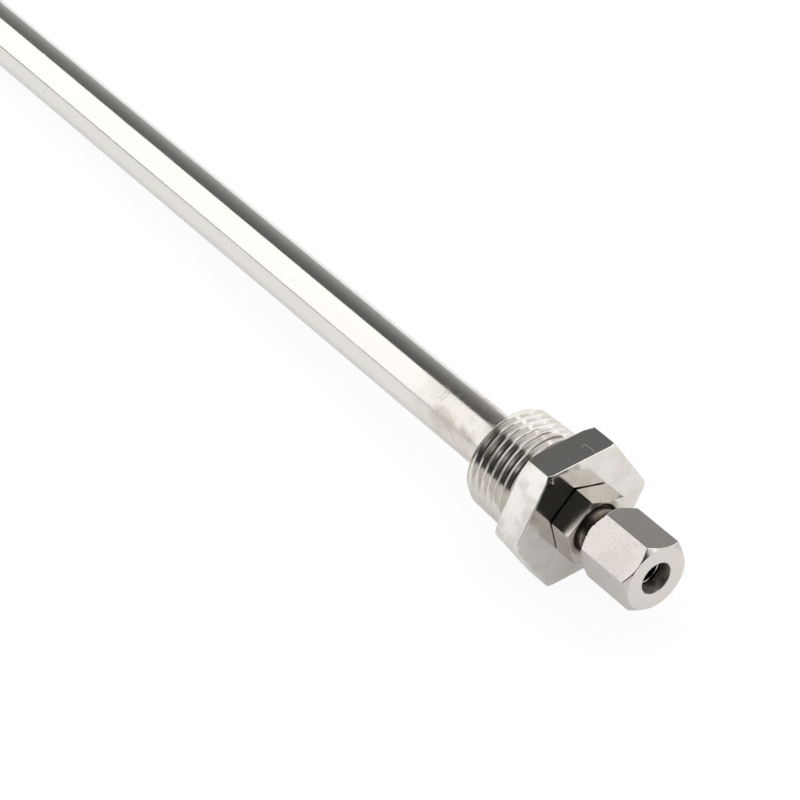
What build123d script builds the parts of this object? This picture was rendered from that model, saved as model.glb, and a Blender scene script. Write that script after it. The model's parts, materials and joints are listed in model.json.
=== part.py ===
from build123d import *
from math import atan, atan2, cos, degrees, radians, sin, tan
import os

# Driving dimensions
# Sizes are in millimetres and angles in degrees. Stations run along the well's axis:
# 0 at the underside of the large hexagon, plus towards the nut, minus towards the tip.

# Probe that the well takes, and the room round it in each piece, on the radius
probe_diameter = 6.0
olive_clearance = 0.05
nut_hole_clearance = 0.15
fitting_clearance = 0.2
stem_clearance = 0.25

# Stem: a straight tube, with a turned plug welded on to close its far end
stem_length = 200.0
stem_wall = 2.25
plug_length = 5.0
plug_chamfer = 1.0

# Fillet weld between the stem and the bushing
weld_leg = 1.3
weld_bulge = 0.12

# Bushing: hexagon with a half inch taper pipe thread below it
hex_across_flats = 25.4
hex_length = 6.35
hex_back_cut = 1.06
hex_front_cut = 0.56
hex_chamfer_angle = 30.0
nose_length = 14.1
nose_chamfer = 0.6
relief_length = 1.3
relief_depth = 0.57
pipe_gauge_diameter = 20.955
pipe_gauge_length = 8.16
pipe_pitch = 25.4 / 14
pipe_taper = 1 / 16
pipe_flank_angle = 30.0
pipe_crest_share = 1 / 16
tap_depth = 9.5
web_thickness = 2.0
socket_clearance = 0.05

# Compression fitting: stub, hexagon, neck and nut thread turned from one bar
fitting_hex_length = 4.8
fitting_cut = 1.23
fitting_chamfer_angle = 8.0
fitting_turn = -18.2
fitting_gap = 0.2
stub_wall = 1.325
stub_clearance = 0.05
stub_end_gap = 0.7
neck_length = 1.9
neck_undercut = 0.04
mouth_wall = 0.455
mouth_gap = 0.45
nut_thread_pitch = 1.0
nut_thread_flank_angle = 30.0
nut_thread_crest_share = 1 / 8
nut_thread_chamfer = 0.5

# Root flat of both threads as a share of the pitch, and the crown that keeps a thread's
# crest line a curve
root_share = 1 / 6
crest_crown = 0.001

# Olive: the ring that the nut squeezes on to a probe
olive_belt_wall = 1.05
olive_belt_length = 1.2
olive_nose_wall = 0.3
olive_tail_wall = 0.4
olive_cone_angle = 12.0
olive_seat_clearance = 0.05
olive_push_clearance = 0.1

# Compression nut, from the same bar as the fitting
nut_length = 13.9
nut_gap = 1.35
nut_wall = 1.35
nut_back_land = 0.05
nut_back_angle = 45.0
nut_front_cut = 1.03
nut_front_angle = 39.5
nut_hole_length = 2.75
nut_push_angle = 45.0
nut_thread_clearance = 0.05
nut_mouth_chamfer = 0.1
nut_chamber_length = 2.0
nut_chamber_clearance = 0.1

# Radii round the probe
probe_radius = probe_diameter / 2
olive_bore_radius = probe_radius + olive_clearance
hole_radius = probe_radius + nut_hole_clearance
fitting_bore_radius = probe_radius + fitting_clearance
bore_radius = probe_radius + stem_clearance
stem_radius = bore_radius + stem_wall
tip_face_radius = stem_radius - plug_chamfer
socket_radius = stem_radius + socket_clearance
stub_radius = fitting_bore_radius + stub_wall
tap_radius = stub_radius + stub_clearance
tail_radius = olive_bore_radius + olive_tail_wall
nose_radius = olive_bore_radius + olive_nose_wall
belt_radius = olive_bore_radius + olive_belt_wall
chamber_radius = belt_radius + nut_chamber_clearance

# Stations of the stem, the bushing and the fitting
tip_station = -stem_length
plug_station = tip_station + plug_length
nose_station = -nose_length
relief_station = -relief_length
tap_station = hex_length - tap_depth
socket_station = tap_station - web_thickness
stub_station = tap_station + stub_end_gap
fitting_station = hex_length + fitting_gap
neck_station = fitting_station + fitting_hex_length
thread_station = neck_station + neck_length

# Stations of the nut, of the olive that sits against its pushing cone, and of the
# fitting's mouth, which ends just short of the nut's threaded bore
cone_slope = tan(radians(olive_cone_angle))
push_slope = tan(radians(nut_push_angle))
nut_station = neck_station + nut_gap
nut_front_station = nut_station + nut_length
push_station = nut_front_station - nut_hole_length
chamber_station = push_station - (chamber_radius - hole_radius) / push_slope
bore_end_station = chamber_station - nut_chamber_length
olive_push_station = push_station - olive_push_clearance
tail_station = olive_push_station - (tail_radius - hole_radius) / push_slope
belt_end_station = olive_push_station - (belt_radius - hole_radius) / push_slope
belt_station = belt_end_station - olive_belt_length
olive_nose_station = belt_station - (belt_radius - nose_radius) / cone_slope
mouth_station = bore_end_station - mouth_gap

# The olive's seat in the fitting's mouth, and the thread and the nut round it
seat_radius = (
    nose_radius + (mouth_station - olive_nose_station) * cone_slope + olive_seat_clearance
)
seat_end_station = mouth_station - (seat_radius - fitting_bore_radius) / cone_slope
nut_thread_share = (1 - nut_thread_crest_share - root_share) / 2
nut_thread_depth = nut_thread_pitch * nut_thread_share / tan(radians(nut_thread_flank_angle))
neck_radius = seat_radius + mouth_wall - neck_undercut
nut_thread_radius = seat_radius + mouth_wall + nut_thread_depth
nut_bore_radius = nut_thread_radius + nut_thread_clearance
nut_across_flats = 2 * (nut_bore_radius + nut_wall)

# The nut's corners are turned down at its back until a narrow flat ring is left round its bore
half_corner = radians(30)
nut_corner_radius = nut_across_flats / 2 / cos(half_corner)
nut_rim_radius = nut_bore_radius + nut_mouth_chamfer
nut_back_cut = nut_corner_radius - nut_rim_radius - nut_back_land

# Pipe thread: its crests at the nose, and the relief that ends it below the hexagon
pipe_slope = pipe_taper / 2
pipe_end_radius = (pipe_gauge_diameter - pipe_gauge_length * pipe_taper) / 2
relief_radius = pipe_end_radius + (nose_length - relief_length) * pipe_slope - relief_depth

# The well lies on the back edge of the hexagon's lower flat and on the edge of its tip,
# so its axis rises a little towards the nut. Z = 0 is the surface it lies on, and X = 0
# is half way along.
nut_face_radius = nut_corner_radius - nut_front_cut
lie_angle = atan2(hex_across_flats / 2 - stem_radius, stem_length - plug_chamfer)
axis_dir = Vector(cos(lie_angle), 0, sin(lie_angle))
shoulder_x = (
    (stem_length - nut_front_station) * cos(lie_angle)
    + (tip_face_radius - nut_face_radius) * sin(lie_angle)
) / 2
shoulder = Vector(shoulder_x, 0, hex_across_flats / 2 * cos(lie_angle))
well_axis = Axis(shoulder, axis_dir)

# Half sections are drawn with x along the axis and y outwards from it
section = Plane(origin=shoulder, x_dir=axis_dir, z_dir=(0, -1, 0))


def on_axis(station):
    """Point of the well's axis at a station."""
    return shoulder + axis_dir * station


def turned(*points):
    """Half section of a turned shape, through the given (station, radius) points."""
    with BuildSketch(section) as profile:
        with BuildLine():
            Polyline(*points, close=True)
        make_face()
    return profile.sketch


def hexagon(station, across_flats, turn=0.0):
    """Hexagon across the axis, lying on a flat unless it is turned about the axis."""
    across = Plane(origin=on_axis(station), x_dir=(0, 1, 0), z_dir=axis_dir)
    with BuildSketch(across) as outline:
        RegularPolygon(across_flats / 2, 6, major_radius=False, rotation=turn)
    return outline.sketch


def turned_corners(station, length, across_flats, back, front):
    """Half section that turns a hexagon's corners down towards both end faces.

    back and front are each (depth of cut on the radius, angle between cone and end face).
    """
    corner_radius = across_flats / 2 / cos(half_corner)
    back_cut, back_angle = back
    front_cut, front_angle = front
    return turned(
        (station, 0),
        (station, corner_radius - back_cut),
        (station + back_cut * tan(radians(back_angle)), corner_radius),
        (station + length - front_cut * tan(radians(front_angle)), corner_radius),
        (station + length, corner_radius - front_cut),
        (station + length, 0),
    )


def threaded_rod(start, end, start_radius, pitch, flank_angle, crest_share, slope=0.0):
    """Rod with a right-hand thread from start to end, start_radius being its first crest.

    The groove begins one pitch before the rod and ends half a pitch past it, so that it runs
    out cleanly at both ends.
    """
    flank = tan(radians(flank_angle))
    crest = pitch * crest_share
    overcut = crest / 4
    mouth_half = (pitch - crest) / 2
    root_half = pitch * root_share / 2
    depth = (mouth_half - root_half) / flank
    lead_in = start - pitch
    run_out = end + pitch / 2
    middle = (start + end) / 2
    end_radius = start_radius + (end - start) * slope
    middle_radius = (start_radius + end_radius) / 2 + crest_crown
    with BuildPart() as groove:
        with BuildLine() as path:
            Helix(
                pitch,
                run_out - lead_in,
                start_radius - depth - pitch * slope,
                center=on_axis(lead_in),
                direction=axis_dir,
                cone_angle=degrees(atan(slope)),
            )
        begin = path.line @ 0
        outwards = (begin - on_axis(lead_in)).normalized()
        with BuildSketch(Plane(origin=begin, x_dir=outwards, z_dir=path.line % 0)):
            with BuildLine():
                Polyline(
                    (0, -root_half),
                    (depth + overcut, -mouth_half - overcut * flank),
                    (depth + overcut, mouth_half + overcut * flank),
                    (0, root_half),
                    close=True,
                )
            make_face()
        sweep(path=path.line, is_frenet=True)
    with BuildPart() as rod:
        with BuildSketch(section):
            with BuildLine():
                Spline((start, start_radius), (middle, middle_radius), (end, end_radius))
                Polyline((end, end_radius), (end, 0), (start, 0), (start, start_radius))
            make_face()
        revolve(axis=well_axis)
        add(groove.part, mode=Mode.SUBTRACT)
    return rod.part


def chamfer_ring(station, radius, size):
    """Ring to cut away for a 45 degree chamfer; a negative size chamfers the other way."""
    reach = abs(size)
    return turned(
        (station, radius - reach),
        (station, radius + reach),
        (station + 2 * size, radius + reach),
    )


# Stem tube: its upper end stands on the bottom of the bushing's socket
with BuildPart() as stem_tube:
    revolve(
        turned(
            (plug_station, bore_radius),
            (plug_station, stem_radius),
            (socket_station, stem_radius),
            (socket_station, bore_radius),
        ),
        axis=well_axis,
    )

# Tip plug: butted on the tube's far end, its edge broken by a chamfer
with BuildPart() as tip_plug:
    revolve(
        turned(
            (tip_station, 0),
            (tip_station, tip_face_radius),
            (tip_station + plug_chamfer, stem_radius),
            (plug_station, stem_radius),
            (plug_station, 0),
        ),
        axis=well_axis,
    )

# Stem weld: a slightly crowned fillet round the tube, against the bushing's end
with BuildPart() as stem_weld:
    root = (nose_station, stem_radius)
    toe = (nose_station - weld_leg, stem_radius)
    top = (nose_station, stem_radius + weld_leg)
    throat = weld_leg / 2 + weld_bulge
    with BuildSketch(section):
        with BuildLine():
            Line(toe, root)
            Line(root, top)
            ThreePointArc(top, (nose_station - throat, stem_radius + throat), toe)
        make_face()
    revolve(axis=well_axis)

# Hexagon bushing: hexagon, thread relief and taper thread, with the stem's socket
# in its end and a tapped hole for the fitting in its front face
pipe_thread = threaded_rod(
    nose_station,
    relief_station,
    pipe_end_radius,
    pipe_pitch,
    pipe_flank_angle,
    pipe_crest_share,
    pipe_slope,
)
with BuildPart() as hex_bushing:
    extrude(hexagon(0, hex_across_flats), amount=hex_length)
    revolve(
        turned_corners(
            0,
            hex_length,
            hex_across_flats,
            (hex_back_cut, hex_chamfer_angle),
            (hex_front_cut, hex_chamfer_angle),
        ),
        axis=well_axis,
        mode=Mode.INTERSECT,
    )
    revolve(
        turned(
            (relief_station, 0),
            (relief_station, relief_radius),
            (0, relief_radius),
            (0, 0),
        ),
        axis=well_axis,
    )
    add(pipe_thread)
    revolve(
        chamfer_ring(nose_station, pipe_end_radius, nose_chamfer),
        axis=well_axis,
        mode=Mode.SUBTRACT,
    )
    revolve(
        turned(
            (nose_station, 0),
            (nose_station, socket_radius),
            (socket_station, socket_radius),
            (socket_station, bore_radius),
            (tap_station, bore_radius),
            (tap_station, tap_radius),
            (hex_length, tap_radius),
            (hex_length, 0),
        ),
        axis=well_axis,
        mode=Mode.SUBTRACT,
    )

# Fitting body: stub in the bushing, hexagon, neck and nut thread, bored through, with a
# cone at its mouth for the olive's nose
nut_thread = threaded_rod(
    thread_station,
    mouth_station,
    nut_thread_radius,
    nut_thread_pitch,
    nut_thread_flank_angle,
    nut_thread_crest_share,
)
with BuildPart() as fitting_body:
    extrude(hexagon(fitting_station, nut_across_flats, fitting_turn), amount=fitting_hex_length)
    revolve(
        turned_corners(
            fitting_station,
            fitting_hex_length,
            nut_across_flats,
            (fitting_cut, fitting_chamfer_angle),
            (fitting_cut, fitting_chamfer_angle),
        ),
        axis=well_axis,
        mode=Mode.INTERSECT,
    )
    revolve(
        turned(
            (neck_station, 0),
            (neck_station, neck_radius),
            (thread_station, neck_radius),
            (thread_station, 0),
        ),
        axis=well_axis,
    )
    add(nut_thread)
    for station, size in ((thread_station, nut_thread_chamfer), (mouth_station, -nut_thread_chamfer)):
        revolve(
            chamfer_ring(station, nut_thread_radius, size),
            axis=well_axis,
            mode=Mode.SUBTRACT,
        )
    revolve(
        turned(
            (stub_station, 0),
            (stub_station, stub_radius),
            (fitting_station, stub_radius),
            (fitting_station, 0),
        ),
        axis=well_axis,
    )
    revolve(
        turned(
            (stub_station, 0),
            (stub_station, fitting_bore_radius),
            (seat_end_station, fitting_bore_radius),
            (mouth_station, seat_radius),
            (mouth_station, 0),
        ),
        axis=well_axis,
        mode=Mode.SUBTRACT,
    )

# Olive: long nose cone, belt and short back cone
with BuildPart() as olive:
    revolve(
        turned(
            (olive_nose_station, olive_bore_radius),
            (olive_nose_station, nose_radius),
            (belt_station, belt_radius),
            (belt_end_station, belt_radius),
            (tail_station, tail_radius),
            (tail_station, olive_bore_radius),
        ),
        axis=well_axis,
    )

# Compression nut: hexagon with turned corners, threaded bore, olive chamber, pushing
# cone and probe hole
with BuildPart() as compression_nut:
    extrude(hexagon(nut_station, nut_across_flats, fitting_turn), amount=nut_length)
    revolve(
        turned_corners(
            nut_station,
            nut_length,
            nut_across_flats,
            (nut_back_cut, nut_back_angle),
            (nut_front_cut, nut_front_angle),
        ),
        axis=well_axis,
        mode=Mode.INTERSECT,
    )
    revolve(
        turned(
            (nut_station, 0),
            (nut_station, nut_rim_radius),
            (nut_station + nut_mouth_chamfer, nut_bore_radius),
            (bore_end_station, nut_bore_radius),
            (bore_end_station, chamber_radius),
            (chamber_station, chamber_radius),
            (push_station, hole_radius),
            (nut_front_station, hole_radius),
            (nut_front_station, 0),
        ),
        axis=well_axis,
        mode=Mode.SUBTRACT,
    )

# One file for each piece
pieces = {
    "stem_tube": stem_tube,
    "tip_plug": tip_plug,
    "stem_weld": stem_weld,
    "hex_bushing": hex_bushing,
    "fitting_body": fitting_body,
    "olive": olive,
    "compression_nut": compression_nut,
}
os.makedirs("parts", exist_ok=True)
for name, piece in pieces.items():
    piece.part.label = name
    export_step(piece.part, f"parts/{name}.step")
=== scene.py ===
import json
import math

import bmesh
import bpy
from mathutils import Matrix, Vector


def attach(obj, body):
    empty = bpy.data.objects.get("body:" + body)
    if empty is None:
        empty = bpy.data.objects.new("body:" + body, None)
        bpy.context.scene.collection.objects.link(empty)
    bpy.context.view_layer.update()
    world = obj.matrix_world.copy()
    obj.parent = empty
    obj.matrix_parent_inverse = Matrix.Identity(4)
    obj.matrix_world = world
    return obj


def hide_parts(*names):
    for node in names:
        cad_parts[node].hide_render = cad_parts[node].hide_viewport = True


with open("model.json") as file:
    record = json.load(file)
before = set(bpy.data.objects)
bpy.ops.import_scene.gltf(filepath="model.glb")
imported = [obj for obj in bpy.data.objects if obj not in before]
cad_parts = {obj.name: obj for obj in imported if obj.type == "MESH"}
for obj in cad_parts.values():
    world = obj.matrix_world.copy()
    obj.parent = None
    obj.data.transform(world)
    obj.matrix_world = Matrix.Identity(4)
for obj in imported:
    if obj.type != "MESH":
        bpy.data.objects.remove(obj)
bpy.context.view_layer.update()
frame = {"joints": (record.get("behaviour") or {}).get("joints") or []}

# Stem: a straight seamless stainless tube, drawn and then polished along its length. Its upper
# end stands in the bushing's socket, and the weld there has left it dull and tinted.
# Pieces are drawn along X, in millimetres from the underside of the large hexagon, and `lie`
# then lays them on the table along the well's own axis.
mm = 0.001
sixth = math.radians(60)
nut_station = 12.7
nut_joint = next(joint for joint in frame["joints"] if joint["name"] == "nut_turn")
axis = Vector(nut_joint["axis"])
shoulder = Vector(nut_joint["pos_m"]) - axis * nut_station * mm
lie = Matrix.Translation(shoulder) @ Matrix.Rotation(-math.asin(axis.z), 4, "Y")


def section(points, closed=True, eased=()):
    """New mesh with a half section through (station, radius) points, and its listed corners eased.

    eased is pairs of (point number, size).
    """
    bm = bmesh.new()
    verts = [bm.verts.new((station * mm, 0, radius * mm)) for station, radius in points]
    for pair in zip(verts, verts[1:]):
        bm.edges.new(pair)
    if closed:
        bm.edges.new((verts[-1], verts[0]))
    for number, size in eased:
        bmesh.ops.bevel(
            bm,
            geom=[verts[number]],
            offset=size * mm,
            offset_type="OFFSET",
            segments=3,
            profile=0.5,
            affect="VERTICES",
            material=-1,
        )
    return bm


def turn_up(bm, spans=((sixth, 32),)):
    """Spins a section through each (angle, steps) of a sixth of a turn, and copies it all round."""
    ring = bm.verts[:] + bm.edges[:]
    for angle, steps in spans:
        spun = bmesh.ops.spin(
            bm, geom=ring, cent=(0, 0, 0), axis=(1, 0, 0), angle=angle, steps=steps, use_merge=False
        )
        ring = spun["geom_last"]
    wedge = bm.verts[:] + bm.edges[:] + bm.faces[:]
    for number in range(1, 6):
        copied = bmesh.ops.duplicate(bm, geom=wedge)["geom"]
        moved = [item for item in copied if isinstance(item, bmesh.types.BMVert)]
        bmesh.ops.rotate(bm, cent=(0, 0, 0), matrix=Matrix.Rotation(number * sixth, 3, "X"), verts=moved)
    bmesh.ops.remove_doubles(bm, verts=bm.verts, dist=0.001 * mm)


def finish_piece(bm, name, body, material, node, crease=32):
    """Lays the mesh along the well, shades it, and puts it in the place of its solid."""
    bmesh.ops.recalc_face_normals(bm, faces=bm.faces)
    bmesh.ops.transform(bm, matrix=lie, verts=bm.verts)
    mesh = bpy.data.meshes.new(name)
    bm.to_mesh(mesh)
    bm.free()
    mesh.shade_smooth()
    mesh.set_sharp_from_angle(angle=math.radians(crease))
    mesh.materials.append(material)
    piece = bpy.data.objects.new(name, mesh)
    bpy.context.scene.collection.objects.link(piece)
    even_faces = piece.modifiers.new("even_faces", "WEIGHTED_NORMAL")
    even_faces.weight = 100
    even_faces.keep_sharp = True
    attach(piece, body)
    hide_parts(node)
    return piece


def steel(name):
    """A new metal: the material, its tree and its shader."""
    material = bpy.data.materials.new(name)
    material.use_nodes = True
    shader = material.node_tree.nodes["Principled BSDF"]
    shader.inputs["Metallic"].default_value = 1.0
    return material, material.node_tree, shader


def add(tree, kind, operation=None, **inputs):
    """Adds a node, and feeds each named input from a socket or a plain value."""
    node = tree.nodes.new(kind)
    if operation:
        node.operation = operation
    for name, source in inputs.items():
        key = int(name[1:]) if name[1:].isdigit() else name.replace("_", " ")
        if isinstance(source, bpy.types.NodeSocket):
            tree.links.new(source, node.inputs[key])
        else:
            node.inputs[key].default_value = source
    return node


def ramp(tree, source, low, high, out_low=0.0, out_high=1.0):
    """Smooth step of a value between low and high."""
    step = add(tree, "ShaderNodeMapRange", Value=source, From_Min=low, From_Max=high)
    step.inputs["To Min"].default_value = out_low
    step.inputs["To Max"].default_value = out_high
    step.interpolation_type = "SMOOTHSTEP"
    return step.outputs["Result"]


def mixed(tree, factor, colour_a, colour_b):
    """Colour between two colours or sockets."""
    mix = tree.nodes.new("ShaderNodeMix")
    mix.data_type = "RGBA"
    for key, source in ((0, factor), (6, colour_a), (7, colour_b)):
        if isinstance(source, bpy.types.NodeSocket):
            tree.links.new(source, mix.inputs[key])
        else:
            mix.inputs[key].default_value = source
    return mix.outputs[2]


def new_group(name, inputs, outputs):
    """A shader group with named value inputs and outputs: its tree and its two end nodes."""
    group = bpy.data.node_groups.new(name, "ShaderNodeTree")
    for label, value in inputs.items():
        socket = group.interface.new_socket(label, in_out="INPUT", socket_type="NodeSocketFloat")
        socket.default_value = value
    for label in outputs:
        group.interface.new_socket(label, in_out="OUTPUT", socket_type="NodeSocketFloat")
    return group, group.nodes.new("NodeGroupInput"), group.nodes.new("NodeGroupOutput")


def placed(tree, group, **inputs):
    """Places a group in a material with its own values."""
    node = add(tree, "ShaderNodeGroup")
    node.node_tree = group
    for name, value in inputs.items():
        node.inputs[name].default_value = value
    return node.outputs


# Where a point lies on the well: millimetres along the axis and out from it, how much its face
# looks along the axis, and a place on the surface to draw patterns at.
well_place = bpy.data.node_groups.new("well_place", "ShaderNodeTree")
well_place.interface.new_socket("Place", in_out="OUTPUT", socket_type="NodeSocketVector")
for label in ("Station", "Radius", "Facing"):
    well_place.interface.new_socket(label, in_out="OUTPUT", socket_type="NodeSocketFloat")
ends = well_place.nodes.new("NodeGroupOutput")
point = add(well_place, "ShaderNodeTexCoord").outputs
unlie = Matrix.Scale(1 / mm, 4) @ lie.inverted()
mapping = add(well_place, "ShaderNodeMapping", Vector=point["Object"])
mapping.inputs["Location"].default_value = unlie.to_translation()
mapping.inputs["Rotation"].default_value = unlie.to_euler()
mapping.inputs["Scale"].default_value = (1 / mm, 1 / mm, 1 / mm)
split = add(well_place, "ShaderNodeSeparateXYZ", Vector=mapping.outputs[0])
flat = add(well_place, "ShaderNodeCombineXYZ", Y=split.outputs["Y"], Z=split.outputs["Z"])
reach = add(well_place, "ShaderNodeVectorMath", "LENGTH", i0=flat.outputs[0])
facing = add(well_place, "ShaderNodeVectorMath", "DOT_PRODUCT", i0=point["Normal"], i1=axis)
facing = add(well_place, "ShaderNodeMath", "ABSOLUTE", i0=facing.outputs["Value"])
well_place.links.new(mapping.outputs[0], ends.inputs["Place"])
well_place.links.new(split.outputs["X"], ends.inputs["Station"])
well_place.links.new(reach.outputs["Value"], ends.inputs["Radius"])
well_place.links.new(facing.outputs[0], ends.inputs["Facing"])

# Handling marks: cloudy smudges, hair scratches that wander, and small pits
handling, given, ends = new_group(
    "handling_marks",
    {"Smudge Size": 4.0, "Scratch Size": 5.0, "Pit Size": 1.4, "Seed": 0.0},
    ("Smudge", "Scratch", "Pit"),
)
place = placed(handling, well_place)["Place"]
shifted = add(handling, "ShaderNodeVectorMath", "ADD", i0=place, i1=given.outputs["Seed"]).outputs[0]


def noise_at(tree, vector, size, detail, roughness=0.5):
    """Noise whose cells are about size millimetres across."""
    scale = add(tree, "ShaderNodeMath", "DIVIDE", i0=1.0, i1=size).outputs[0]
    cloud = add(
        tree, "ShaderNodeTexNoise", Vector=vector, Scale=scale, Detail=detail, Roughness=roughness
    )
    return cloud.outputs["Factor"] if "Factor" in cloud.outputs else cloud.outputs["Fac"]


smudge = noise_at(handling, shifted, given.outputs["Smudge Size"], 5.0, 0.62)
handling.links.new(ramp(handling, smudge, 0.42, 0.68), ends.inputs["Smudge"])
wander = noise_at(handling, shifted, given.outputs["Scratch Size"], 1.5, 0.4)
off_line = add(handling, "ShaderNodeMath", "SUBTRACT", i0=wander, i1=0.5)
off_line = add(handling, "ShaderNodeMath", "ABSOLUTE", i0=off_line.outputs[0])
line = ramp(handling, off_line.outputs[0], 0.0, 0.006, 1.0, 0.0)
patch_size = add(handling, "ShaderNodeMath", "MULTIPLY", i0=given.outputs["Scratch Size"], i1=0.6)
patch = noise_at(handling, shifted, patch_size.outputs[0], 2.0)
scratch = add(handling, "ShaderNodeMath", "MULTIPLY", i0=line, i1=ramp(handling, patch, 0.56, 0.64))
handling.links.new(scratch.outputs[0], ends.inputs["Scratch"])
pit_scale = add(handling, "ShaderNodeMath", "DIVIDE", i0=1.0, i1=given.outputs["Pit Size"])
cells = add(handling, "ShaderNodeTexVoronoi", Vector=shifted, Scale=pit_scale.outputs[0])
handling.links.new(ramp(handling, cells.outputs["Distance"], 0.04, 0.12, 1.0, 0.0), ends.inputs["Pit"])


def hair_line(tree, place, points, width):
    """Mask of a fine scratch through points of the piece, in millimetres."""
    mask = 0.0
    for start, end in zip(points, points[1:]):
        run = Vector(end) - Vector(start)
        away = add(tree, "ShaderNodeVectorMath", "SUBTRACT", i0=place, i1=start).outputs[0]
        along = add(tree, "ShaderNodeVectorMath", "DOT_PRODUCT", i0=away, i1=run / run.length_squared)
        share = add(tree, "ShaderNodeClamp", Value=along.outputs["Value"]).outputs[0]
        near = add(tree, "ShaderNodeVectorMath", "SCALE", i0=run, Scale=share).outputs[0]
        gap = add(tree, "ShaderNodeVectorMath", "DISTANCE", i0=away, i1=near).outputs["Value"]
        line = ramp(tree, gap, 0.0, width, 1.0, 0.0)
        mask = add(tree, "ShaderNodeMath", "MAXIMUM", i0=line, i1=mask).outputs[0]
    return mask


stem_radius = 5.5
stem_bore_radius = 3.25
plug_station = -195.0
socket_station = -5.15
nose_station = -14.1
steel_colour = (0.67, 0.652, 0.622, 1)
heat_colour = (0.54, 0.50, 0.45, 1)
soot_colour = (0.30, 0.28, 0.26, 1)
smear_points = [(-19.4, -4.8, 2.7), (-22.2, -4.45, 3.2)]
smear_width = 1.1

stem_steel, tree, shader = steel("polished_stem_steel")
where = placed(tree, well_place)
marks = placed(tree, handling, **{"Smudge Size": 6.0, "Scratch Size": 9.0, "Pit Size": 2.6})
ragged = noise_at(tree, where["Place"], 5.0, 4.0)
ragged = add(tree, "ShaderNodeMath", "MULTIPLY_ADD", i0=ragged, i1=16.0, i2=where["Station"]).outputs[0]
heat = ramp(tree, ragged, nose_station - 20, nose_station - 1)
cloudy = add(tree, "ShaderNodeMath", "MULTIPLY_ADD", i0=marks["Smudge"], i1=0.6, i2=0.4).outputs[0]
cloudy = add(tree, "ShaderNodeMath", "MULTIPLY", i0=heat, i1=cloudy).outputs[0]
tinted = mixed(tree, cloudy, steel_colour, heat_colour)
pitted = add(tree, "ShaderNodeMath", "MULTIPLY", i0=marks["Pit"], i1=marks["Smudge"]).outputs[0]
from_seam = add(tree, "ShaderNodeMath", "SUBTRACT", i0=where["Station"], i1=plug_station).outputs[0]
from_seam = add(tree, "ShaderNodeMath", "ABSOLUTE", i0=from_seam).outputs[0]
seam = ramp(tree, from_seam, 0.3, 1.1, 0.5, 0.0)
stained = add(tree, "ShaderNodeMath", "MAXIMUM", i0=pitted, i1=seam).outputs[0]
smear = hair_line(tree, where["Place"], smear_points, smear_width)
stained = add(tree, "ShaderNodeMath", "MULTIPLY_ADD", i0=smear, i1=0.5, i2=stained).outputs[0]
crosswise = add(tree, "ShaderNodeMapping", Vector=where["Place"])
crosswise.inputs["Scale"].default_value = (2.2, 0.5, 0.5)
strokes = ramp(tree, noise_at(tree, crosswise.outputs[0], 1.4, 2.0), 0.54, 0.68)
strokes = add(tree, "ShaderNodeMath", "MULTIPLY", i0=strokes, i1=heat).outputs[0]
tree.links.new(mixed(tree, stained, tinted, soot_colour), shader.inputs["Base Color"])
dull = add(tree, "ShaderNodeMath", "MULTIPLY_ADD", i0=marks["Smudge"], i1=0.05, i2=0.09)
dull = add(tree, "ShaderNodeMath", "MULTIPLY_ADD", i0=cloudy, i1=0.2, i2=dull.outputs[0])
dull = add(tree, "ShaderNodeMath", "MULTIPLY_ADD", i0=strokes, i1=0.06, i2=dull.outputs[0])
dull = add(tree, "ShaderNodeMath", "MULTIPLY_ADD", i0=marks["Scratch"], i1=0.2, i2=dull.outputs[0])
tree.links.new(dull.outputs[0], shader.inputs["Roughness"])
stretched = add(tree, "ShaderNodeMapping", Vector=where["Place"])
stretched.inputs["Scale"].default_value = (0.05, 1.0, 1.0)
streaks = noise_at(tree, stretched.outputs[0], 1.2, 3.0)
bump = add(tree, "ShaderNodeBump", Height=streaks, Strength=0.35, Distance=0.00002)
tree.links.new(bump.outputs[0], shader.inputs["Normal"])

bm = section(
    [
        (plug_station, stem_bore_radius),
        (plug_station, stem_radius),
        (socket_station, stem_radius),
        (socket_station, stem_bore_radius),
    ]
)
turn_up(bm)
finish_piece(bm, "stem", "well", stem_steel, "stem_tube")

# Tip plug: a turned disc that closes the stem's far end. Its edge is chamfered, and its weld to
# the tube is ground flush.
tip_station = -200.0
tip_chamfer = 1.0
tip_edge = 0.25

bm = section(
    [
        (tip_station, 0),
        (tip_station, stem_radius - tip_chamfer),
        (tip_station + tip_chamfer, stem_radius),
        (plug_station, stem_radius),
        (plug_station, 0),
    ],
    closed=False,
    eased=[(1, tip_edge), (2, tip_edge)],
)
turn_up(bm)
finish_piece(bm, "plug", "well", stem_steel, "tip_plug")

# Stem weld: one run of fillet weld between the tube and the bushing's end, laid in overlapping
# ripples and left as it was welded.
weld_leg = 1.3
weld_throat = 0.77
ripple_count = 44
ripple_height = 0.06
ripple_lag = math.radians(7)
bead_colour = (0.42, 0.38, 0.36, 1)

weld_steel, tree, shader = steel("weld_bead_steel")
marks = placed(tree, handling, **{"Smudge Size": 1.6, "Seed": 11.0})
tree.links.new(mixed(tree, marks["Smudge"], heat_colour, bead_colour), shader.inputs["Base Color"])
dull = add(tree, "ShaderNodeMath", "MULTIPLY_ADD", i0=marks["Smudge"], i1=0.15, i2=0.25)
tree.links.new(dull.outputs[0], shader.inputs["Roughness"])

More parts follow.
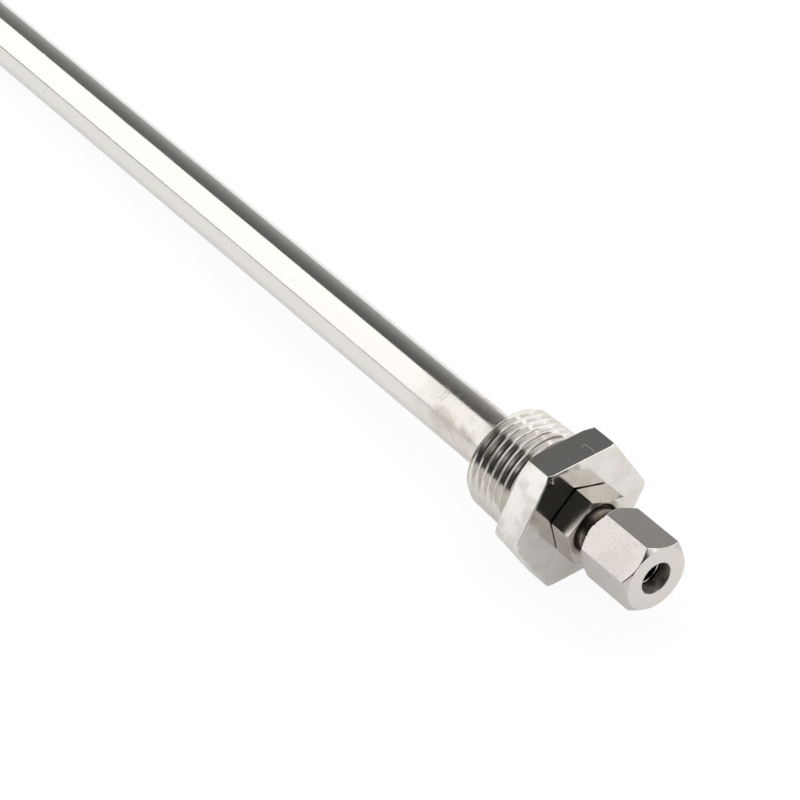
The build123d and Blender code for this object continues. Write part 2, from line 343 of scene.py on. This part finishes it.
bm = section(
    [
        (nose_station, stem_radius),
        (nose_station, stem_radius + weld_leg),
        (nose_station - weld_throat, stem_radius + weld_throat),
        (nose_station - weld_leg, stem_radius),
    ],
    eased=[(2, 0.4)],
)
turn_up(bm, [(sixth, 60)])
for vert in bm.verts:
    reach = math.hypot(vert.co.y, vert.co.z)
    height = min(reach / mm - stem_radius, nose_station - vert.co.x / mm)
    if height > 0.05:
        from_middle = reach / mm - stem_radius - weld_leg / 2
        around = math.atan2(vert.co.y, vert.co.z) + ripple_lag * from_middle**2
        ripple = abs(math.sin(around * ripple_count / 2)) - 1
        swell = ripple_height * ripple * mm * min(1, height / 0.3)
        vert.co.x -= swell * 0.7
        vert.co.yz *= 1 + swell * 0.7 / reach
finish_piece(bm, "weld", "well", weld_steel, "stem_weld")

# Bushing: a hexagon of stainless bar with a half inch taper pipe thread cut below it. The thread
# starts at a chamfered nose and ends in a plain relief under the hexagon.
hex_flat = 12.7
hex_length = 6.35
hex_back_cut = 1.06
hex_front_cut = 0.56
hex_edge = 0.14
hex_chamfer = math.radians(30)
hex_back_end = (hex_back_cut, hex_chamfer)
hex_front_end = (hex_front_cut, hex_chamfer)
hex_face_radius = hex_flat - 0.5
hex_worn_colour = (0.60, 0.565, 0.52, 1)
scratch_bends = [(3.5, 2.2), (3.1, 2.6), (3.2, 3.1), (4.4, 3.2), (6.3, 3.05)]
scratch_points = [(station, across, hex_flat) for station, across in scratch_bends]
scratch_width = 0.07
relief_station = -1.3
relief_radius = 10.05
pipe_end_radius = 10.2225
pipe_pitch = 25.4 / 14
pipe_slope = 1 / 32
pipe_flank = math.radians(30)
pipe_crest_share = 1 / 16
nose_chamfer = 0.6
socket_radius = 5.55
tap_station = -3.15
tap_radius = 4.575
root_share = 1 / 6


def hexagon_spans(flat, edge):
    """Spin spans from the middle of a flat on, with close columns on each rounded corner."""
    corner = 2 * edge * math.tan(sixth / 2) * math.cos(sixth / 2) / flat
    half_flat = (sixth - corner) / 2
    return [(half_flat, 22), (corner, 4), (half_flat, 22)]


def press_hexagon(bm, flat, edge, *ends):
    """Brings what stands outside a hexagon in to its sides, rounded at its corners and two ends."""
    centre = (flat - edge) / math.cos(sixth / 2)
    for vert in bm.verts:
        reach = math.hypot(vert.co.y, vert.co.z)
        from_flat = (math.atan2(vert.co.y, vert.co.z) + sixth / 2) % sixth - sixth / 2
        from_corner = sixth / 2 - abs(from_flat)
        limit = flat / math.cos(from_flat)
        across = edge**2 - (centre * math.sin(from_corner)) ** 2
        if across > 0:
            limit = min(limit, centre * math.cos(from_corner) + math.sqrt(across))
        from_end = min(abs(vert.co.x / mm - end) for end in ends)
        if from_end < edge:
            limit -= edge - math.sqrt(edge**2 - (edge - from_end) ** 2)
        if reach > limit * mm:
            vert.co.yz *= limit * mm / reach


def hexagon_side(station, length, flat, back, front):
    """Section points up the turned corners of a hexagon, from its back face to its front face.

    back and front are each (depth of cut on the radius, angle of the cut).
    """
    corner = flat / math.cos(sixth / 2)
    rows = 20
    points = []
    for row in range(rows + 1):
        cut = back[0] * (1 - (row / rows) ** 2)
        points.append((station + (back[0] - cut) * math.tan(back[1]), corner - cut))
    for row in range(rows + 1):
        cut = front[0] * (1 - (1 - row / rows) ** 2)
        points.append((station + length - (front[0] - cut) * math.tan(front[1]), corner - cut))
    return points


def cut_thread(start, end, start_radius, pitch, flank_angle, crest_share, slope=0.0):
    """Helical surface of a right-hand thread, cut square at both ends and open there.

    On its upper side the middle of a groove lies at the start.
    """
    steps = 120
    crest = pitch * crest_share
    root = pitch * root_share
    run = (pitch - crest - root) / 2
    depth = run / math.tan(flank_angle)
    lead_in = start - 1.5 * pitch
    turns = math.ceil((end - start) / pitch) + 2
    bm = section(
        [
            (lead_in, start_radius),
            (lead_in + crest / 2, start_radius),
            (lead_in + crest / 2 + run, start_radius - depth),
            (lead_in + crest / 2 + run + root, start_radius - depth),
            (lead_in + pitch - crest / 2, start_radius),
            (lead_in + pitch, start_radius),
        ],
        closed=False,
        eased=[(1, crest * 0.3), (2, root * 0.4), (3, root * 0.4), (4, crest * 0.3)],
    )
    flanks = [edge for edge in bm.edges if edge.calc_length() > run / 2 * mm]
    bmesh.ops.subdivide_edges(bm, edges=flanks, cuts=3)
    bmesh.ops.spin(
        bm,
        geom=bm.verts[:] + bm.edges[:],
        cent=(0, 0, 0),
        axis=(1, 0, 0),
        dvec=(pitch * mm / steps, 0, 0),
        angle=2 * math.pi,
        steps=steps,
        use_merge=False,
    )
    turn = bm.verts[:] + bm.edges[:] + bm.faces[:]
    for number in range(1, turns):
        copied = bmesh.ops.duplicate(bm, geom=turn)["geom"]
        moved = [item for item in copied if isinstance(item, bmesh.types.BMVert)]
        bmesh.ops.translate(bm, vec=(number * pitch * mm, 0, 0), verts=moved)
    bmesh.ops.remove_doubles(bm, verts=bm.verts, dist=0.002 * mm)
    for vert in bm.verts:
        vert.co.yz *= 1 + (vert.co.x - start * mm) * slope / vert.co.yz.length
    for station, outwards in ((start, -1), (end, 1)):
        bmesh.ops.bisect_plane(
            bm,
            geom=bm.verts[:] + bm.edges[:] + bm.faces[:],
            dist=0.0001 * mm,
            plane_co=(station * mm, 0, 0),
            plane_no=(outwards, 0, 0),
            clear_outer=True,
        )
    return bm


def chamfer_thread(bm, station, radius):
    """Turns the crests down to a 45 degree cone that has the given radius at the station."""
    for vert in bm.verts:
        limit = radius * mm + abs(vert.co.x - station * mm)
        if vert.co.yz.length > limit:
            vert.co.yz *= limit / vert.co.yz.length


def join_thread(bm, thread, *stations):
    """Adds the thread to a turned piece and closes the ring between them at each station."""
    mesh = bpy.data.meshes.new("thread")
    thread.to_mesh(mesh)
    thread.free()
    bm.from_mesh(mesh)
    bpy.data.meshes.remove(mesh)
    for station in stations:
        rims = []
        for edge in bm.edges:
            from_station = max(abs(vert.co.x - station * mm) for vert in edge.verts)
            if edge.is_boundary and from_station < 0.001 * mm:
                rims.append(edge)
        bmesh.ops.bridge_loops(bm, edges=rims)


# Bar lines: faint lines drawn along a bar's flats, and rings left by the lathe on what was turned
bar_lines, given, ends = new_group("bar_lines", {"Flat": 12.7}, ("Height", "Flats"))
where = placed(bar_lines, well_place)
outside = add(bar_lines, "ShaderNodeMath", "SUBTRACT", i0=where["Radius"], i1=given.outputs["Flat"])
outside = ramp(bar_lines, outside.outputs[0], -0.3, -0.1)
sides = ramp(bar_lines, where["Facing"], 0.2, 0.5, 1.0, 0.0)
flats = add(bar_lines, "ShaderNodeMath", "MULTIPLY", i0=outside, i1=sides).outputs[0]
lengthwise = add(bar_lines, "ShaderNodeMapping", Vector=where["Place"])
lengthwise.inputs["Scale"].default_value = (0.04, 1.0, 1.0)
drawn = noise_at(bar_lines, lengthwise.outputs[0], 0.35, 2.0)
rings = add(bar_lines, "ShaderNodeCombineXYZ", X=where["Station"], Y=where["Radius"])
turned = noise_at(bar_lines, rings.outputs[0], 0.16, 2.0)
bar_lines.links.new(flats, ends.inputs["Flats"])
height = add(bar_lines, "ShaderNodeMix", i0=flats, i2=turned, i3=drawn)
bar_lines.links.new(height.outputs[0], ends.inputs["Height"])


def turned_steel(name, colour, worn_colour, roughness, grain, seed, flat=100.0):
    """Metal of a piece turned from bar: the material, its tree, its shader, its colour and its roughness.

    grain is how strongly the surface is pebbled, and flat is the radius of the bar's flats.
    """
    material, tree, shader = steel(name)
    marks = placed(tree, handling, **{"Smudge Size": 5.0, "Scratch Size": 4.0, "Seed": seed})
    lines = placed(tree, bar_lines, Flat=flat)
    speckle = noise_at(tree, placed(tree, well_place)["Place"], 0.16, 2.0)
    colour = mixed(tree, marks["Smudge"], colour, worn_colour)
    dull = add(tree, "ShaderNodeMath", "MULTIPLY_ADD", i0=marks["Smudge"], i1=0.07, i2=roughness)
    dull = add(tree, "ShaderNodeMath", "MULTIPLY_ADD", i0=marks["Scratch"], i1=0.12, i2=dull.outputs[0])
    height = add(tree, "ShaderNodeMath", "MULTIPLY_ADD", i0=speckle, i1=grain, i2=lines["Height"])
    bump = add(tree, "ShaderNodeBump", Height=height.outputs[0], Strength=1.0, Distance=0.0000015)
    tree.links.new(colour, shader.inputs["Base Color"])
    tree.links.new(dull.outputs[0], shader.inputs["Roughness"])
    tree.links.new(bump.outputs[0], shader.inputs["Normal"])
    return material, tree, shader, colour, dull.outputs[0]


bushing_steel, tree, shader, colour, dull = turned_steel(
    "turned_bushing_steel",
    steel_colour,
    hex_worn_colour,
    roughness=0.12,
    grain=0.3,
    seed=3.0,
    flat=hex_flat,
)
hook = hair_line(tree, placed(tree, well_place)["Place"], scratch_points, scratch_width)
dull = add(tree, "ShaderNodeMath", "MULTIPLY_ADD", i0=hook, i1=0.5, i2=dull)
tree.links.new(dull.outputs[0], shader.inputs["Roughness"])

thread = cut_thread(
    nose_station, relief_station, pipe_end_radius, pipe_pitch, pipe_flank, pipe_crest_share, pipe_slope
)
chamfer_thread(thread, nose_station, pipe_end_radius - nose_chamfer)
bm = section(
    [
        (relief_station, relief_radius),
        (0, relief_radius),
        (0, hex_face_radius),
        *hexagon_side(0, hex_length, hex_flat, hex_back_end, hex_front_end),
        (hex_length, hex_face_radius),
        (hex_length, tap_radius),
        (tap_station, tap_radius),
        (tap_station, stem_bore_radius),
        (socket_station, stem_bore_radius),
        (socket_station, socket_radius),
        (nose_station, socket_radius),
    ],
    closed=False,
)
turn_up(bm, hexagon_spans(hex_flat, hex_edge))
press_hexagon(bm, hex_flat, hex_edge, 0, hex_length)
join_thread(bm, thread, nose_station, relief_station)
finish_piece(bm, "bushing", "well", bushing_steel, "hex_bushing")

# Compression fitting: hexagon, neck and nut thread turned from one bar, with a stub that is
# screwed into the bushing and a coned mouth for the olive.
bar_flat = 6.3527
bar_turn = math.radians(18.2)
bar_edge = 0.1
fitting_station = 6.55
fitting_length = 4.8
fitting_cut = 1.23
fitting_end = (fitting_cut, math.radians(8))
neck_station = fitting_station + fitting_length
neck_radius = 4.299
nut_thread_station = 13.25
mouth_station = 20.35
nut_thread_radius = 4.9527
nut_thread_pitch = 1.0
nut_thread_flank = math.radians(30)
nut_thread_crest_share = 1 / 8
nut_thread_chamfer = 0.5
stub_station = -2.45
stub_radius = 4.525
fitting_bore_radius = 3.2
seat_station = 17.131
seat_radius = 3.8843
fitting_colour = (0.59, 0.56, 0.52, 1)
fitting_worn_colour = (0.53, 0.495, 0.45, 1)
neck_shade_colour = (0.24, 0.21, 0.18, 1)
bore_shade_colour = (0.10, 0.09, 0.08, 1)

fitting_steel, tree, shader, colour, dull = turned_steel(
    "turned_fitting_steel",
    fitting_colour,
    fitting_worn_colour,
    roughness=0.13,
    grain=0.4,
    seed=17.0,
    flat=bar_flat,
)
where = placed(tree, well_place)
# Past the hexagon, the neck and the thread under the nut are painted dark brown as painted shade in the
# gap under the nut; they are also rougher there.
past_hexagon = ramp(tree, where["Station"], neck_station - 0.02, neck_station + 0.1)
colour = mixed(tree, past_hexagon, colour, neck_shade_colour)
# Inside the seat and the bore the colour is near black: painted shade in the hole.
bored = ramp(tree, where["Radius"], seat_radius - 0.1, seat_radius + 0.1, 1.0, 0.0)
tree.links.new(mixed(tree, bored, colour, bore_shade_colour), shader.inputs["Base Color"])
dull = add(tree, "ShaderNodeMath", "MULTIPLY_ADD", i0=past_hexagon, i1=0.2, i2=dull)
tree.links.new(dull.outputs[0], shader.inputs["Roughness"])

thread = cut_thread(
    nut_thread_station,
    mouth_station,
    nut_thread_radius,
    nut_thread_pitch,
    nut_thread_flank,
    nut_thread_crest_share,
)
for station in (nut_thread_station, mouth_station):
    chamfer_thread(thread, station, nut_thread_radius - nut_thread_chamfer)
bm = section(
    [
        (mouth_station, seat_radius),
        (seat_station, fitting_bore_radius),
        (stub_station, fitting_bore_radius),
        (stub_station, stub_radius),
        (fitting_station, stub_radius),
        *hexagon_side(fitting_station, fitting_length, bar_flat, fitting_end, fitting_end),
        (neck_station, neck_radius),
        (nut_thread_station, neck_radius),
    ],
    closed=False,
)
turn_up(bm, hexagon_spans(bar_flat, bar_edge))
press_hexagon(bm, bar_flat, bar_edge, fitting_station, neck_station)
bar_rotation = Matrix.Rotation(-bar_turn, 3, "X")
bmesh.ops.rotate(bm, cent=(0, 0, 0), matrix=bar_rotation, verts=bm.verts)
join_thread(bm, thread, nut_thread_station, mouth_station)
finish_piece(bm, "fitting", "well", fitting_steel, "fitting_body")

# Olive: a smooth turned ring with a long nose cone and a short back cone, which the nut pushes
# into the fitting's mouth until it grips the probe.
olive_bore_radius = 3.05
olive_nose_station = 18.072
olive_nose_radius = 3.35
belt_station = 21.6
belt_end_station = 22.8
belt_radius = 4.1
tail_station = 23.45
tail_radius = 3.45
olive_edge = 0.15
olive_colour = (0.86, 0.84, 0.81, 1)
olive_worn_colour = (0.80, 0.78, 0.75, 1)

olive_steel, tree, shader, colour, dull = turned_steel(
    "turned_olive_steel", olive_colour, olive_worn_colour, roughness=0.08, grain=0.2, seed=31.0
)
ring_radius = placed(tree, well_place)["Radius"]
# Inside its bore the olive is near black: painted shade in the hole.
bored = ramp(tree, ring_radius, olive_bore_radius, olive_bore_radius + 0.04, 1.0, 0.0)
tree.links.new(mixed(tree, bored, colour, bore_shade_colour), shader.inputs["Base Color"])

bm = section(
    [
        (olive_nose_station, olive_bore_radius),
        (olive_nose_station, olive_nose_radius),
        (belt_station, belt_radius),
        (belt_end_station, belt_radius),
        (tail_station, tail_radius),
        (tail_station, olive_bore_radius),
    ],
    eased=[(number, olive_edge) for number in range(1, 6)],
)
turn_up(bm)
finish_piece(bm, "olive_ring", "olive", olive_steel, "olive")

# Compression nut: the same hexagon bar as the fitting, turned down at both ends, bored and
# threaded, with the probe's hole through its front.
nut_length = 13.9
nut_front_station = nut_station + nut_length
nut_bore_radius = 5.0027
nut_mouth_chamfer = 0.1
nut_back_land = 0.05
nut_hole_radius = 3.15
nut_hole_edge = 0.12
push_station = 23.85
chamber_station = 22.8
chamber_end_station = 20.8
chamber_radius = 4.2
nut_rim_radius = nut_bore_radius + nut_mouth_chamfer
nut_back_cut = bar_flat / math.cos(sixth / 2) - nut_rim_radius - nut_back_land
nut_back = (nut_back_cut, math.radians(45))
nut_front = (1.03, math.radians(39.5))
nut_colour = (0.51, 0.475, 0.45, 1)
nut_worn_colour = (0.49, 0.455, 0.43, 1)
nut_hole_colour = (0.54, 0.51, 0.47, 1)
hole_stain_colour = (0.32, 0.295, 0.265, 1)
pebble_colour = (0.59, 0.555, 0.525, 1)
faced_colour = (0.61, 0.575, 0.545, 1)

nut_steel, tree, shader, colour, dull = turned_steel(
    "grained_nut_steel",
    nut_colour,
    nut_worn_colour,
    roughness=0.17,
    grain=2.4,
    seed=23.0,
    flat=bar_flat,
)
where = placed(tree, well_place)
pebbles = ramp(tree, noise_at(tree, where["Place"], 0.26, 3.0, 0.65), 0.32, 0.68)
on_flats = placed(tree, bar_lines, Flat=bar_flat)["Flats"]
pebbles = add(tree, "ShaderNodeMath", "MULTIPLY", i0=pebbles, i1=on_flats).outputs[0]
colour = mixed(tree, pebbles, colour, pebble_colour)
faced = ramp(tree, where["Facing"], 0.85, 0.95)
colour = mixed(tree, faced, colour, faced_colour)
bored = ramp(tree, where["Radius"], nut_hole_radius, nut_hole_radius + 0.15, 1.0, 0.0)
stains = ramp(tree, noise_at(tree, where["Place"], 1.3, 3.0), 0.42, 0.62)
hole_colour = mixed(tree, stains, nut_hole_colour, hole_stain_colour)
tree.links.new(mixed(tree, bored, colour, hole_colour), shader.inputs["Base Color"])
dull = add(tree, "ShaderNodeMath", "MULTIPLY_ADD", i0=bored, i1=0.35, i2=dull)
tree.links.new(dull.outputs[0], shader.inputs["Roughness"])

bm = section(
    [
        (nut_front_station, nut_hole_radius),
        (push_station, nut_hole_radius),
        (chamber_station, chamber_radius),
        (chamber_end_station, chamber_radius),
        (chamber_end_station, nut_bore_radius),
        (nut_station + nut_mouth_chamfer, nut_bore_radius),
        (nut_station, nut_rim_radius),
        *hexagon_side(nut_station, nut_length, bar_flat, nut_back, nut_front),
    ],
    eased=[(0, nut_hole_edge)],
)
turn_up(bm, hexagon_spans(bar_flat, bar_edge))
press_hexagon(bm, bar_flat, bar_edge, nut_station, nut_front_station)
bmesh.ops.rotate(bm, cent=(0, 0, 0), matrix=bar_rotation, verts=bm.verts)
finish_piece(bm, "nut", "nut", nut_steel, "compression_nut")

# Table: the plain white top that the well lies on
bm = bmesh.new()
bmesh.ops.create_grid(bm, x_segments=1, y_segments=1, size=4.0)
mesh = bpy.data.meshes.new("table")
bm.to_mesh(mesh)
bm.free()
table = bpy.data.objects.new("table", mesh)
bpy.context.scene.collection.objects.link(table)
table_paint = bpy.data.materials.new("table_paint")
table_paint.use_nodes = True
tree = table_paint.node_tree
shader = tree.nodes["Principled BSDF"]
shader.inputs["Base Color"].default_value = (0.9, 0.9, 0.895, 1)
shader.inputs["Roughness"].default_value = 0.8
shader.inputs["Specular IOR Level"].default_value = 0.0
shader.inputs["Emission Color"].default_value = (1, 1, 1, 1)
shader.inputs["Emission Strength"].default_value = 0.28
white = add(tree, "ShaderNodeEmission").outputs[0]
seen = add(tree, "ShaderNodeLightPath").outputs["Is Camera Ray"]
bleached = add(tree, "ShaderNodeMath", "MULTIPLY", i0=seen, i1=0.88).outputs[0]
paint = add(tree, "ShaderNodeMixShader", i0=bleached, i1=shader.outputs[0], i2=white).outputs[0]
tree.links.new(paint, tree.nodes["Material Output"].inputs["Surface"])
mesh.materials.append(table_paint)

# Light: white panels that the steel mirrors, one behind the well's left, one along its right, one over
# it and a small one over the nut, a soft overhead light for the table, and a room that is dark
# towards the camera
overhead_light = bpy.data.lights.new("overhead", "SUN")
overhead_light.energy = 2.6
overhead_light.angle = math.radians(100)
overhead = bpy.data.objects.new("overhead", overhead_light)
bpy.context.scene.collection.objects.link(overhead)
overhead.visible_glossy = False

panel_distance = 1.2
east = Vector((1, 0, 0))
north = Vector((0, 1, 0))
upwards = Vector((0, 0, 1))
for name, outwards, across, wide, along, tall, brightness in (
    ("panel_left", -east, north, (-1.75, 0.16), upwards, (0.06, 1.75), 1.4),
    ("panel_right", north, east, (-0.35, 2.2), upwards, (0.0, 1.3), 1.3),
    ("panel_over", upwards, east, (-0.36, 1.3), north, (-0.13, 1.0), 1.3),
    ("panel_front", upwards, east, (1.35, 2.1), north, (0.33, 1.0), 1.3),
):
    lamp = bpy.data.lights.new(name, "AREA")
    lamp.shape = "RECTANGLE"
    lamp.size = (wide[1] - wide[0]) * panel_distance
    lamp.size_y = (tall[1] - tall[0]) * panel_distance
    lamp.energy = brightness * math.pi * lamp.size * lamp.size_y
    panel = bpy.data.objects.new(name, lamp)
    middle = outwards + across * sum(wide) / 2 + along * sum(tall) / 2
    panel.location = middle * panel_distance
    panel.rotation_euler = (-outwards).to_track_quat("-Z", "Y").to_euler()
    bpy.context.scene.collection.objects.link(panel)
    panel.visible_camera = False
    panel.visible_diffuse = False

camera_look = Vector((-0.6064, 0.4473, -0.6574))
room = bpy.data.worlds.new("room")
room.use_nodes = True
bpy.context.scene.world = room
tree = room.node_tree
background = tree.nodes["Background"]
direction = add(tree, "ShaderNodeTexCoord").outputs["Generated"]
behind = (camera_look * Vector((1, 1, 0))).normalized()
towards = add(tree, "ShaderNodeVectorMath", "DOT_PRODUCT", i0=direction, i1=behind).outputs["Value"]
height = add(tree, "ShaderNodeSeparateXYZ", Vector=direction).outputs["Z"]
low_down = add(tree, "ShaderNodeMath", "SUBTRACT", i0=1.0, i1=height).outputs[0]
glow = add(tree, "ShaderNodeMath", "POWER", i0=low_down, i1=1.3).outputs[0]
from_behind = ramp(tree, towards, -0.1, 0.75, 0.0, 0.5)
glow = add(tree, "ShaderNodeMath", "MULTIPLY", i0=glow, i1=from_behind).outputs[0]
glow = add(tree, "ShaderNodeMath", "ADD", i0=glow, i1=0.04).outputs[0]
seen = add(tree, "ShaderNodeLightPath").outputs["Is Camera Ray"]
tree.links.new(mixed(tree, seen, glow, (0.95, 0.95, 0.95, 1)), background.inputs["Color"])

# Camera: stands above the nut's end and looks down along the well
hex_front = shoulder + axis * hex_length * mm
camera_offset = Vector((309.3, -267.5, 382.6))
camera_data = bpy.data.cameras.new("camera")
camera_data.sensor_width = 36
camera_data.lens = 144.18
camera = bpy.data.objects.new("camera", camera_data)
camera.location = hex_front + camera_offset * mm
camera.rotation_euler = camera_look.to_track_quat("-Z", "Y").to_euler()
bpy.context.scene.collection.objects.link(camera)
bpy.context.scene.camera = camera
bpy.context.scene.view_settings.view_transform = "Standard"
